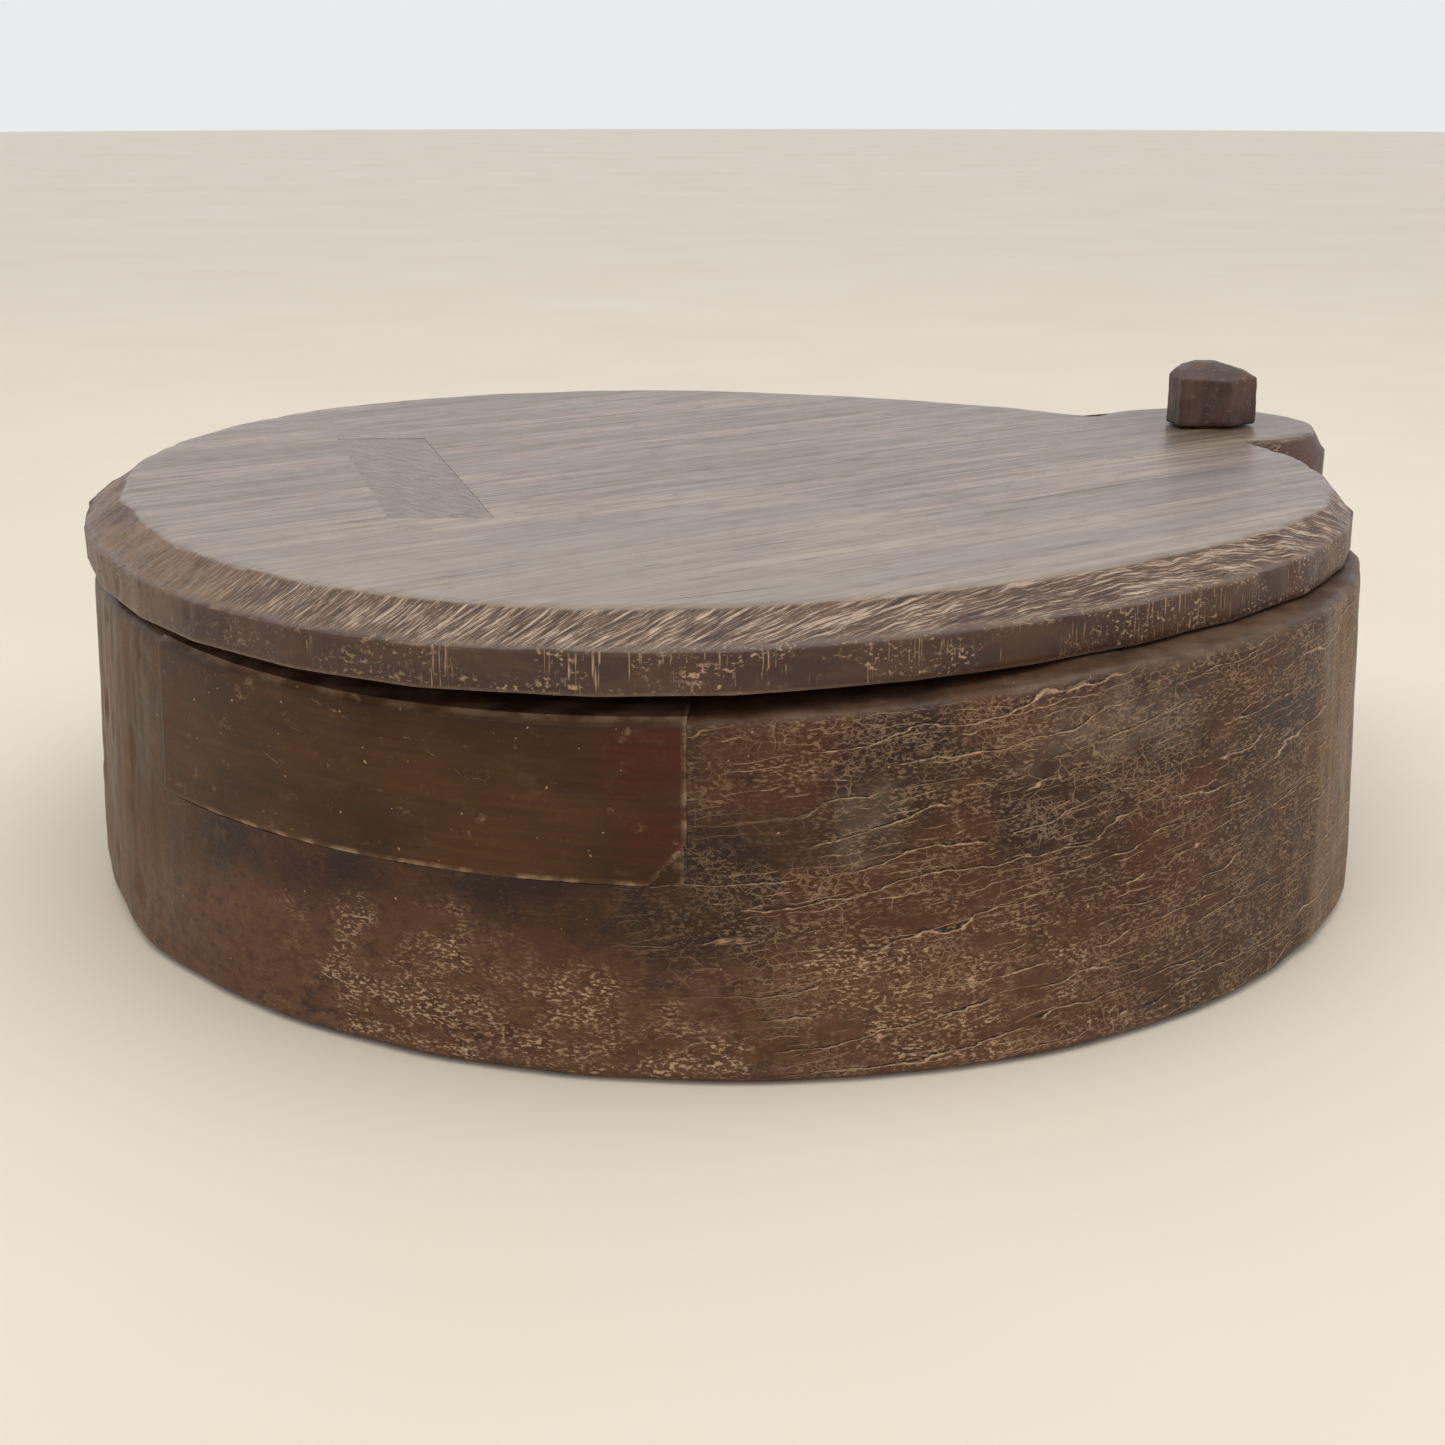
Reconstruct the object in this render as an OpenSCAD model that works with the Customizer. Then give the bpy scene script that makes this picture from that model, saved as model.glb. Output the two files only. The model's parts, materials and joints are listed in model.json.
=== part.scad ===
/* [Bowl] */
// Height of the bowl from its foot to its rim
bowl_h = 96.1; // [90:0.1:104]
// Outer radius of the bowl at the rim
rim_r = 190.8; // [186:0.1:193]
// Outer radius of the bowl just above its foot
foot_r = 194.4; // [188:0.1:197]
// Radius of the worn edge round the foot
foot_round = 6; // [3:1:9]
// Wall thickness at the rim
wall_t = 23.6; // [20:0.1:28]
// Thickness of the carved floor
floor_t = 20; // [16:1:26]
// Radius of the hollow where the wall meets the floor
hollow_round = 18; // [10:1:24]
// How much narrower the hollow is at the floor than at the rim
hollow_draft = 5; // [2:1:8]

/* [Worn rim] */
// Depth of the worn dip in the rim
dip_depth = 6.3; // [2:0.1:8]
// Length of the worn dip along the rim
dip_len = 297; // [200:1:310]
// Direction of the middle of the dip, seen from the bowl's centre
dip_dir = -112; // [-125:1:-100]

/* [Repair piece in the wall] */
// Direction of the piece's first end
patch_start = -141.5; // [-146:0.5:-138]
// Angle that the piece spans
patch_span = 48.5; // [40:0.5:54]
// Height of the piece's lower edge above the foot
patch_z = 50; // [44:1:60]
// How deep the piece is let into the wall
patch_t = 14; // [10:1:17]
// Width and height of its clipped lower corner
patch_clip = [9, 11];

/* [Pivot] */
// Distance of the pivot from the bowl's centre
pivot_r = 189; // [186:0.5:192]
// Direction of the pivot from the bowl's centre
pivot_dir = 28.5; // [20:0.5:36]
// Radius of the lug on the bowl, round the pivot
lug_r = 32; // [28:1:36]
// Height of the lug's lowest point above the foot
lug_z = 30; // [24:1:34]
// Height of the slope on which the lug grows out of the wall
lug_slope = 32; // [26:1:34]
// Radius of the peg's round shank
shank_r = 10; // [8:0.5:12]
// Depth of the peg's seat below the rim
shank_seat = 46; // [40:1:48]
// Radius of the pin that locks the peg in the lug
lock_r = 4; // [3:0.5:5]
// Height of the lock pin above the foot
lock_z = 70; // [68:1:80]

/* [Peg head] */
// Height of the straight part of the peg's head
head_h = 15.5; // [10:0.5:18]
// Height of the crowned top of the peg's head
crown_h = 6.1; // [3:0.1:8]
// Gap between the lid and the underside of the head
head_gap = 0.5; // [0.4:0.1:3]

/* [Lid] */
// Thickness of the lid
lid_t = 18.6; // [15:0.1:24]
// Mean radius of the lid
lid_r = 188.6; // [187:0.1:193]
// Where the middle of the lid lies, seen from the bowl's centre
lid_mid = [-10, -1.7];
// Mean width of the sloped border round the top of the lid
bevel_w = 11.3; // [8:0.1:14]
// How much wider the sloped border is at the front than on average
bevel_skew = 2; // [0:0.5:4]
// How much narrower the bevel is towards the right than at the front
bevel_pinch = 5; // [0:0.5:6]
// How far the sloped border falls
bevel_drop = 7.2; // [4:0.1:10]
// Radius of the ear round the pivot
ear_r = 42; // [40:0.5:48]
// Radius of the flat top of the ear
ear_flat_r = 37.5; // [34:0.5:40]
// Gap between the lid and the rim
lid_gap = 0.3; // [0.2:0.1:0.6]
// Gap between the peg's shank and its hole in the lid
swing_gap = 0.4; // [0.3:0.1:0.8]

/* [Key in the lid] */
// Depth of the key let into the top of the lid
key_t = 9; // [6:1:12]
// Width of the key
key_w = 29; // [24:1:34]
// Reach of the key from front to back
key_len = 134; // [110:1:140]
// How far its front end lies to the right of its back end
key_lean = 37; // [30:1:44]
// Middle of the key
key_mid = [-97.5, -9.7];

/* [Hidden] */

// Colours of the woods
old_wood = [0.21, 0.13, 0.09];
repair_wood = [0.24, 0.13, 0.09];
lid_wood = [0.42, 0.36, 0.32];
key_wood = [0.33, 0.27, 0.24];

// Fineness of the round solids
round_fn = 128;
// Radius of the lug at its lowest point, inside the wall
lug_tip_r = 1;
// How far a cut runs past the face that it opens
eps = 1;
// How far the lock pin runs on past the shank, and how far it stands out of the lug
lock_end = 6;
lock_proud = 1.5;

pivot = pivot_r * [cos(pivot_dir), sin(pivot_dir)];
lid_z = bowl_h + lid_gap;
lid_top = lid_z + lid_t;
head_z = lid_top + head_gap;
shank_z = bowl_h - shank_seat;

// Radius of the arc that the dip follows
dip_r = (dip_len * dip_len / 4 + dip_depth * dip_depth) / (2 * dip_depth);

// Out-of-round waves of the hand-hewn lid: [waves round the lid, height, direction of a crest]
lid_waves = [[2, 4.1, -23], [3, 7.3, 10], [4, 1.4, -7]];

// The ear as seen from the middle of the lid
ear_at = pivot - lid_mid;
ear_dist = norm(ear_at);
ear_dir = atan2(ear_at[1], ear_at[0]);

// Steps of the lid's outline: fine at the ear, and one hewn flat at a time elsewhere
ear_half = 20;
ear_step = 2;
flat_step = 6;
lid_angles = concat(
    [for (a = [-ear_half : ear_step : ear_half]) ear_dir + a],
    [for (a = [ear_half + flat_step : flat_step : 360 - ear_half - flat_step / 2]) ear_dir + a]
);

// Outline of the peg's hewn head round its own axis
head_outline = [[-11.5, -14], [6, -14.7], [16.7, -7.5], [15.7, 7.5], [5.5, 15], [-7.5, 14], [-13.7, -2]];
// Crown of the head: [share of the crown's height, share of the outline]
crown_rings = [[0.62, 0.74], [1, 0.3]];
crown_lean = [-1.5, 0];

// Radius of the lid's rounded part in a direction, without its ear
function wave_sum(a, i = 0) =
    i == len(lid_waves) ? 0
    : lid_waves[i][1] * cos(lid_waves[i][0] * (a - lid_waves[i][2])) + wave_sum(a, i + 1);

// Width of the bevel at direction a
function bevel_run(a) = bevel_w - bevel_skew * sin(a) - bevel_pinch * pow(max(cos(a), 0), 3);
// Distance to the far side of the ear in a direction, or zero where the ear isn't
function ear_reach(a, r) =
    let (side = ear_dist * sin(a - ear_dir))
    abs(side) < r && cos(a - ear_dir) > 0
    ? ear_dist * cos(a - ear_dir) + sqrt(r * r - side * side)
    : 0;

function edge_r(a) = max(lid_r + wave_sum(a), ear_reach(a, ear_r));
function flat_r(a) =
    max(lid_r + wave_sum(a) - bevel_run(a), ear_reach(a, ear_flat_r));

function ring(radii, z) = [
    for (i = [0 : len(lid_angles) - 1])
        [lid_mid[0] + radii[i] * cos(lid_angles[i]), lid_mid[1] + radii[i] * sin(lid_angles[i]), z]
];

// Solid between rings of equally many points, the lowest first
module ring_solid(rings) {
    n = len(rings[0]);
    top = (len(rings) - 1) * n;
    polyhedron(
        points = [for (r = rings) each r],
        faces = concat(
            [[for (i = [0 : n - 1]) i]],
            [[for (i = [n - 1 : -1 : 0]) top + i]],
            [for (k = [0 : len(rings) - 2]) for (i = [0 : n - 1])
                [k * n + i, (k + 1) * n + i, (k + 1) * n + (i + 1) % n]],
            [for (k = [0 : len(rings) - 2]) for (i = [0 : n - 1])
                [k * n + i, (k + 1) * n + (i + 1) % n, k * n + (i + 1) % n]]
        )
    );
}

// Points of a quarter round, from straight down to straight out
function quarter(mid, r, steps = 6) =
    [for (i = [0 : steps]) mid + r * [sin(90 * i / steps), -cos(90 * i / steps)]];

module bowl_blank() {
    rotate_extrude($fn = round_fn)
        polygon(concat(
            [[0, 0]],
            quarter([foot_r - foot_round, foot_round], foot_round),
            [[rim_r, bowl_h], [0, bowl_h]]
        ));
}

module hollow() {
    floor_r = rim_r - wall_t - hollow_draft;
    rotate_extrude($fn = round_fn)
        polygon(concat(
            [[0, floor_t]],
            quarter([floor_r - hollow_round, floor_t + hollow_round], hollow_round),
            [[rim_r - wall_t, bowl_h + eps], [0, bowl_h + eps]]
        ));
}

// Boss for the peg: half of a round post on the wall, which slopes back into the wall below
module lug() {
    translate([pivot[0], pivot[1], lug_z + lug_slope])
        cylinder(h = bowl_h - lug_z - lug_slope, r = lug_r, $fn = round_fn);
    translate([pivot[0], pivot[1], lug_z])
        cylinder(h = lug_slope, r1 = lug_tip_r, r2 = lug_r, $fn = round_fn);
}

// Space worn away from the rim: one long shallow arc across the front
module rim_dip() {
    rotate([0, 0, dip_dir])
        translate([rim_r / 2, 0, bowl_h - dip_depth + dip_r])
        rotate([0, 90, 0])
        cylinder(h = rim_r, r = dip_r, $fn = 256);
}

// Seat of the repair piece: a stretch of the wall, open outwards and upwards
module patch_seat() {
    clip_w = patch_clip[0];
    clip_h = patch_clip[1];
    difference() {
        rotate([0, 0, patch_start])
            rotate_extrude(angle = patch_span, $fn = round_fn)
            translate([rim_r - patch_t, patch_z])
            square([patch_t + foot_round, bowl_h - patch_z + eps]);
        rotate([0, 0, patch_start + patch_span])
            translate([rim_r - patch_t - eps, 0, patch_z])
            rotate([90, 0, 90])
            linear_extrude(patch_t + foot_round + 2 * eps)
            polygon([
                [-1.2 * clip_w, -0.2 * clip_h],
                [0.2 * clip_w, -0.2 * clip_h],
                [0.2 * clip_w, 1.2 * clip_h]
            ]);
    }
}

// The lock pin runs in from outside the lug, through the shank and into the wall
module lock_solid() {
    rotate([0, 0, pivot_dir])
        translate([pivot_r - shank_r - lock_end, 0, lock_z])
        rotate([0, 90, 0])
        cylinder(h = lock_end + shank_r + lug_r + lock_proud, r = lock_r, $fn = 32);
}

module bowl() {
    color(old_wood)
    difference() {
        union() {
            bowl_blank();
            lug();
        }
        hollow();
        rim_dip();
        patch_seat();
        lock_solid();
        translate([pivot[0], pivot[1], shank_z]) cylinder(h = shank_seat + eps, r = shank_r, $fn = 64);
    }
}

module wall_patch() {
    color(repair_wood)
    difference() {
        intersection() {
            bowl_blank();
            patch_seat();
        }
        rim_dip();
    }
}

module peg_head() {
    skin = 0.1;
    hull() {
        linear_extrude(head_h) polygon(head_outline);
        for (c = crown_rings)
            translate([crown_lean[0], crown_lean[1], head_h + crown_h * c[0] - skin])
            linear_extrude(skin)
            scale(c[1]) polygon(head_outline);
    }
}

module pivot_peg() {
    color(repair_wood)
    difference() {
        translate([pivot[0], pivot[1], 0])
        union() {
            translate([0, 0, shank_z]) cylinder(h = head_z - shank_z, r = shank_r, $fn = 64);
            translate([0, 0, head_z]) peg_head();
        }
        lock_solid();
    }
}

module lock_pin() {
    color(old_wood) lock_solid();
}

module key_solid() {
    translate([key_mid[0], key_mid[1], lid_top - key_t])
        linear_extrude(key_t)
        polygon([
            [-key_lean - key_w, key_len] / 2, [-key_lean + key_w, key_len] / 2,
            [key_lean + key_w, -key_len] / 2, [key_lean - key_w, -key_len] / 2
        ]);
}

module lid() {
    color(lid_wood)
    difference() {
        ring_solid([
            ring([for (a = lid_angles) edge_r(a)], lid_z),
            ring([for (a = lid_angles) edge_r(a)], lid_top - bevel_drop),
            ring([for (a = lid_angles) flat_r(a)], lid_top)
        ]);
        key_solid();
        translate([pivot[0], pivot[1], lid_z - eps])
            cylinder(h = lid_t + 2 * eps, r = shank_r + swing_gap, $fn = 64);
    }
}

module lid_key() {
    color(key_wood) key_solid();
}

bowl();
wall_patch();
pivot_peg();
lock_pin();
lid();
lid_key();
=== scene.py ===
"""Looks of a hand-carved round wooden mold with a flat lid that swings on a wooden peg."""

import itertools
import json
from math import asin, atan2, cos, pi, radians, sin

import bmesh
import bpy
import numpy as np
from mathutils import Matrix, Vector


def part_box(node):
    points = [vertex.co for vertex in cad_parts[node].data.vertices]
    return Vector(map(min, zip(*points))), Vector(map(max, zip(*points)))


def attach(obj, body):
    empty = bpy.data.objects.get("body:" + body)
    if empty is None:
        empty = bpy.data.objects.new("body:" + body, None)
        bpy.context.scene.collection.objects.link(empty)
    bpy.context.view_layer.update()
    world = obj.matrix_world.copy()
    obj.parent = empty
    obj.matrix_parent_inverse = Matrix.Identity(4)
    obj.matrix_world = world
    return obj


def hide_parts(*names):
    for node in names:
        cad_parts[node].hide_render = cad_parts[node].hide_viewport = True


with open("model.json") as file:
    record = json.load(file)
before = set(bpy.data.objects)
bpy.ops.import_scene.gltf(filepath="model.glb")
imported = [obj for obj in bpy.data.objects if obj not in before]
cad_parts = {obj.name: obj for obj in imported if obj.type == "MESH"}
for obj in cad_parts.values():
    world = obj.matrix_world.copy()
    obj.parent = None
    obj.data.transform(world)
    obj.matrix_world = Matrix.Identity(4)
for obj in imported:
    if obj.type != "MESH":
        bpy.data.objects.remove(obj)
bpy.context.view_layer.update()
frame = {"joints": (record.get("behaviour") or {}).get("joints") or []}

# ---- Sizes, in millimetres ----

# Meshes are made in millimetres and stored in metres
MM = 0.001


def box_mm(node):
    """Low and high corners of a CAD node's box, in millimetres."""
    low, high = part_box(node)
    return np.array(low) / MM, np.array(high) / MM


bowl_low, bowl_high = box_mm("bowl")
lid_low, lid_high = box_mm("lid")
peg_low, peg_high = box_mm("pivot_peg")
pin_low, pin_high = box_mm("lock_pin")
key_low, key_high = box_mm("lid_key")
PIVOT = np.array(frame["joints"][0]["pos_m"][:2]) / MM

RIM_Z = bowl_high[2]
FOOT_R = -bowl_low[0]
WALL_TAPER = 3.6
RIM_R = FOOT_R - WALL_TAPER
FOOT_ROUND = 6.0
WALL_T = 23.6
FLOOR_T = 20.0
HOLLOW_R = RIM_R - WALL_T
HOLLOW_ROUND = 18.0
HOLLOW_DRAFT = 5.0
RIM_ROUND = 2.6

DIP_DEPTH = 6.3
DIP_LENGTH = 297.0
DIP_TURN = radians(-112)
DIP_R = (DIP_LENGTH**2 / 4 + DIP_DEPTH**2) / (2 * DIP_DEPTH)

PATCH_START = radians(-141.5)
PATCH_END = radians(-93.0)
PATCH_Z = box_mm("wall_patch")[0][2]
PATCH_T = 14.0
PATCH_CLIP = (9.0, 11.0)

LUG_R = 32.0
LUG_TIP_R = 1.0
LUG_Z = 30.0
LUG_SLOPE = 32.0
SHANK_R = 10.0
LOCK_R = (pin_high[2] - pin_low[2]) / 2
LOCK_Z = (pin_high[2] + pin_low[2]) / 2

LID_MID = np.array([-10.0, -1.7])
LID_R = 188.6
LID_WAVES = ((2, 4.1, -23.0), (3, 7.3, 10.0), (4, 1.4, -7.0))
LID_TOP = lid_high[2]
LID_Z = lid_low[2]
BEVEL_W = 11.3
BEVEL_SKEW = 2.0
BEVEL_PINCH = 5.0
BEVEL_DROP = 7.2
ARRIS_Z = LID_TOP - BEVEL_DROP
EAR_R = 42.0
EAR_FLAT_R = 37.5
KEY_W = 29.0
KEY_LEAN = 37.0
KEY_GAP = 0.03

HEAD_OUTLINE = ((-11.5, -14), (6, -14.7), (16.7, -7.5), (15.7, 7.5), (5.5, 15), (-7.5, 14), (-13.7, -2))
HEAD_Z = LID_TOP + 0.5
HEAD_TOP = peg_high[2] - 0.35
CROWN_H = 6.1
CROWN_LEAN = -1.5

# Slack round the glued pieces, the peg's shank in the bowl, and the shank in the lid
SEAT_GAP = 0.1
SHANK_GAP = 0.15
BORE_GAP = 0.4
# How far a cutter runs past the faces that it opens
BEYOND = 20

# Direction of the grain in the lid's plank, and its long crack, which crosses the key
GRAIN_TURN = radians(36)
LONG_CRACK = ((-146, -102), (-58, -38))


# ---- Numbers: seeded noise and smooth steps ----


def noise(points, size, seed, octaves=1):
    """Smooth seeded noise of about -1 to 1 at points, with waves of that size (one number or three)."""
    rng = np.random.default_rng(seed)
    order = rng.permutation(256)
    slopes = rng.normal(size=(256, 3))
    slopes /= np.linalg.norm(slopes, axis=1)[:, None]
    total = np.zeros(len(points))
    for octave in range(octaves):
        at = points / np.asarray(size, float) * 2**octave + 31.7 * (octave + 1)
        cell = np.floor(at).astype(int)
        inside = at - cell
        ease = inside**3 * (inside * (inside * 6 - 15) + 10)
        for corner in itertools.product((0, 1), repeat=3):
            pick = 0
            for axis in range(3):
                pick = order[(pick + cell[:, axis] + corner[axis]) % 256]
            share = np.prod(np.where(corner, ease, 1 - ease), axis=1)
            total += share * ((inside - corner) * slopes[pick]).sum(1) * 0.5**octave
    return total * 1.7


def step(low, high, value):
    """0 below low and 1 above high, with a smooth rise between; high may be the smaller one."""
    t = np.clip((value - low) / (high - low), 0, 1)
    return t * t * (3 - 2 * t)


def soft_max(a, b, blend):
    """The larger of a and b, rounded where they meet."""
    h = np.clip(0.5 + 0.5 * (a - b) / blend, 0, 1)
    return b + (a - b) * h + blend * h * (1 - h)


def polar(points, middle=(0, 0)):
    """Direction and distance of each point from an upright middle line."""
    x, y = points[:, 0] - middle[0], points[:, 1] - middle[1]
    return np.arctan2(y, x), np.hypot(x, y)


def axes(turn):
    """Unit directions along a turn and across it, in plan."""
    return np.array([cos(turn), sin(turn)]), np.array([-sin(turn), cos(turn)])


def arc(radius, turns, middle=(0, 0)):
    """Points of a circle at those directions."""
    return [(middle[0] + radius * cos(t), middle[1] + radius * sin(t)) for t in turns]


def spans(edges, counts):
    """Even steps from each edge to the next, that many between each two."""
    parts = zip(edges, edges[1:], counts)
    return np.concatenate([np.linspace(a, b, n, endpoint=False) for a, b, n in parts])


def turn_between(a, b):
    """Signed angle from b to a, from minus pi to pi."""
    return (a - b + pi) % (2 * pi) - pi


def hewn(turns, radius, first, width, unevenness, seed):
    """How far a blade's flat cuts lie inside a circle of that radius, at each direction."""
    rng = np.random.default_rng(seed)
    count = round(2 * pi / width)
    edges = first + np.arange(count) * 2 * pi / count
    edges = edges + rng.uniform(-unevenness, unevenness, count) * width
    depth = np.zeros(len(turns))
    for start, end in zip(edges, np.roll(edges, -1)):
        span = (end - start) % (2 * pi)
        off = turn_between(turns, start + span / 2)
        inside = np.abs(off) <= span / 2 + 1e-9
        flat = radius * (1 - cos(span / 2) / np.cos(off))
        depth = np.where(inside, flat, depth)
    return depth


# ---- Meshes ----


def add_to_scene(name, data):
    """A new object in the scene, holding a mesh, a lamp or a camera."""
    made = bpy.data.objects.new(name, data)
    bpy.context.scene.collection.objects.link(made)
    return made


def make_object(name, points, faces):
    """A new mesh object from points in millimetres."""
    mesh = bpy.data.meshes.new(name)
    mesh.from_pydata((points * MM).tolist(), [], faces)
    mesh.update()
    return add_to_scene(name, mesh)


def ring_faces(rows, columns, low_pole, high_pole):
    """Faces of a closed surface: rings of points, one row each, with a pole point at either end."""
    index = np.arange(rows * columns).reshape(rows, columns)
    right = np.roll(index, -1, axis=1)
    quads = np.stack([index[:-1], right[:-1], right[1:], index[1:]], -1).reshape(-1, 4).tolist()
    lows = [[low_pole, right[0, i], index[0, i]] for i in range(columns)]
    highs = [[high_pole, index[-1, i], right[-1, i]] for i in range(columns)]
    return quads + lows + highs


def stack_rings(rings, turns):
    """Two grids, radii and heights, from pairs of either one number or one for each direction."""
    return [np.array([np.broadcast_to(row, len(turns)) for row in rows], float) for rows in zip(*rings)]


def ring_solid(name, radii, heights, turns, middle, shape):
    """A closed solid of rings round an upright middle line. shape(points) then moves its points."""
    rows, columns = radii.shape
    x = middle[0] + radii * np.cos(turns)
    y = middle[1] + radii * np.sin(turns)
    points = np.stack([x, y, heights], -1).reshape(-1, 3)
    poles = [[*middle, heights[end].mean()] for end in (0, -1)]
    points = shape(np.vstack([points, poles]))
    return make_object(name, points, ring_faces(rows, columns, rows * columns, rows * columns + 1))


def slab(name, skin, back, rows, columns):
    """A closed block between two equal grids of points, its skin and its back."""
    count = rows * columns
    index = np.arange(count).reshape(rows, columns)
    quads = np.stack([index[:-1, :-1], index[:-1, 1:], index[1:, 1:], index[1:, :-1]], -1).reshape(-1, 4)
    border = np.concatenate([index[0], index[1:, -1], index[-1, -2::-1], index[-2:0:-1, 0]])
    ahead = np.roll(border, -1)
    sides = np.stack([border, border + count, ahead + count, ahead], 1)
    faces = quads.tolist() + (quads[:, ::-1] + count).tolist() + sides.tolist()
    return make_object(name, np.vstack([skin, back]), faces)


def apply_modifiers(piece):
    """Turns the piece's modifiers into its own mesh."""
    graph = bpy.context.evaluated_depsgraph_get()
    made = bpy.data.meshes.new_from_object(piece.evaluated_get(graph))
    piece.modifiers.clear()
    piece.data = made


def cut(piece, cutters, operation="DIFFERENCE"):
    """Takes the cutters' volumes out of the piece, or joins them to it, and removes the cutters."""
    for cutter in cutters:
        tool = piece.modifiers.new("cut", "BOOLEAN")
        tool.object = cutter
        tool.operation = operation
        tool.solver = "MANIFOLD"
    apply_modifiers(piece)
    for cutter in cutters:
        bpy.data.objects.remove(cutter)
    return piece


def all_round(count):
    """That many even directions, right round a circle."""
    return np.arange(count) * 2 * pi / count


def drawn_cutter(points):
    """A cutter between two loops of points, given one after the other."""
    count = len(points) // 2
    sides = [[i, (i + 1) % count, count + (i + 1) % count, count + i] for i in range(count)]
    faces = [list(range(count))[::-1], [count + i for i in range(count)], *sides]
    return make_object("cutter", np.array(points, float), faces)


def prism(outline, low, high):
    """A cutter: an outline in millimetres, counter-clockwise, drawn up from low to high."""
    return drawn_cutter([(x, y, z) for z in (low, high) for x, y in outline])


def round_prism(middle, radius, low, high):
    """A round upright cutter."""
    return prism(arc(radius, all_round(72), middle), low, high)


def points_of(piece):
    """The piece's points, in millimetres."""
    flat = np.empty(len(piece.data.vertices) * 3, np.float32)
    piece.data.vertices.foreach_get("co", flat)
    return flat.reshape(-1, 3).astype(float) / MM


def move_points(piece, points):
    """Puts the piece's points at new places, in millimetres."""
    piece.data.vertices.foreach_set("co", (points * MM).astype(np.float32).ravel())
    piece.data.update()


def paint(piece, **masks):
    """Stores each mask on the piece's points, for its material to read."""
    for name, values in masks.items():
        layer = piece.data.attributes.new(name, "FLOAT", "POINT")
        layer.data.foreach_set("value", np.clip(values, 0, 1).astype(np.float32))


def finish_piece(piece, material, body, node, smooth_angle=32):
    """Shading, material and the frame's facts, the same for every piece."""
    piece.data.materials.clear()
    piece.data.materials.append(material)
    piece.data.shade_smooth()
    piece.data.set_sharp_from_angle(angle=radians(smooth_angle))
    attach(piece, body)
    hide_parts(node)


# ---- Bowl ----

PIVOT_R = float(np.hypot(*PIVOT))
PIVOT_TURN = atan2(PIVOT[1], PIVOT[0])
# Directions along and across the lock pin, and how far from the bowl's middle it runs
OUTWARD, SIDEWAYS = axes(PIVOT_TURN)
LOCK_START, LOCK_END = PIVOT_R - SHANK_R - 6, PIVOT_R + LUG_R + 1.5
# Half of the bowl's flatter front, as an angle, without and with its hewn corner
FRONT_HALF = np.radians((46, 58))


def far_side(turns, distance, direction, radius):
    """Distance from the middle to the far side of a round boss, or zero beside it."""
    off = turn_between(turns, direction)
    side = distance * np.sin(off)
    inside = (np.abs(side) < radius) & (np.cos(off) > 0)
    return np.where(inside, distance * np.cos(off) + np.sqrt(np.maximum(radius**2 - side**2, 0)), 0)


def rim_height(turns):
    """Height of the rim, with the long worn dip across the front."""
    off = turn_between(turns, DIP_TURN)
    along = RIM_R * np.sin(off)
    dip = np.where(np.cos(off) > 0, np.maximum(DIP_DEPTH - along**2 / (2 * DIP_R), 0), 0)
    return RIM_Z - dip


def wall_radius(turns, z):
    """Outer radius of the bowl, with the lug growing out of the wall."""
    wall = FOOT_R + (RIM_R - FOOT_R) * (z - FOOT_ROUND) / (RIM_Z - FOOT_ROUND)
    lug_r = LUG_TIP_R + (LUG_R - LUG_TIP_R) * np.clip((z - LUG_Z) / LUG_SLOPE, 0, 1)
    lug = far_side(turns, PIVOT_R, PIVOT_TURN, lug_r)
    return np.where(lug > wall - 8, np.maximum(soft_max(wall, lug, 2.4) - 0.6, wall), wall)


def bowl_turns():
    """Directions of the bowl's columns, closer together at the sides of the lug."""
    reach = asin(LUG_R / PIVOT_R)
    near = spans((-1.12, -0.78, 0.78, 1.12), (20, 40, 20)) * reach
    rest = spans((1.12 * reach, 2 * pi - 1.12 * reach), (640,))
    return PIVOT_TURN + np.concatenate([near, rest])


def bowl_rings(turns):
    """Radii and heights of the bowl's rings, from the middle of its foot out, up and in again."""
    rim = rim_height(turns)
    rings = [(share * (FOOT_R - FOOT_ROUND), 0) for share in np.linspace(0.04, 1, 13)]
    add = rings.append
    for angle in np.radians(np.linspace(15, 90, 6)):
        add((FOOT_R - FOOT_ROUND + FOOT_ROUND * sin(angle), FOOT_ROUND * (1 - cos(angle))))
    for share in np.linspace(0, 1, 57)[1:]:
        height = FOOT_ROUND + share * (rim - RIM_ROUND - FOOT_ROUND)
        add((wall_radius(turns, height), height))
    outer = wall_radius(turns, rim)
    for angle in np.radians((25, 50, 75, 90)):
        add((outer - RIM_ROUND * (1 - cos(angle)), rim - RIM_ROUND * (1 - sin(angle))))
    for share in np.linspace(0, 1, 8)[1:]:
        add((outer - RIM_ROUND + share * (HOLLOW_R + 2 * RIM_ROUND - outer), rim))
    for angle in np.radians((25, 50, 75)):
        add((HOLLOW_R + RIM_ROUND * (1 - sin(angle)), rim - RIM_ROUND * (1 - cos(angle))))
    floor_r = HOLLOW_R - HOLLOW_DRAFT
    knee = FLOOR_T + HOLLOW_ROUND
    for share in np.linspace(0, 1, 22):
        height = rim - RIM_ROUND + share * (knee - rim + RIM_ROUND)
        add((HOLLOW_R + (floor_r - HOLLOW_R) * share, height))
    for angle in np.radians(np.linspace(15, 90, 6)):
        add((floor_r - HOLLOW_ROUND * (1 - cos(angle)), knee - HOLLOW_ROUND * sin(angle)))
    rings += [((1 - share) * (floor_r - HOLLOW_ROUND), FLOOR_T) for share in np.linspace(0, 1, 17)[1:-1]]
    return stack_rings(rings, turns)


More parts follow.
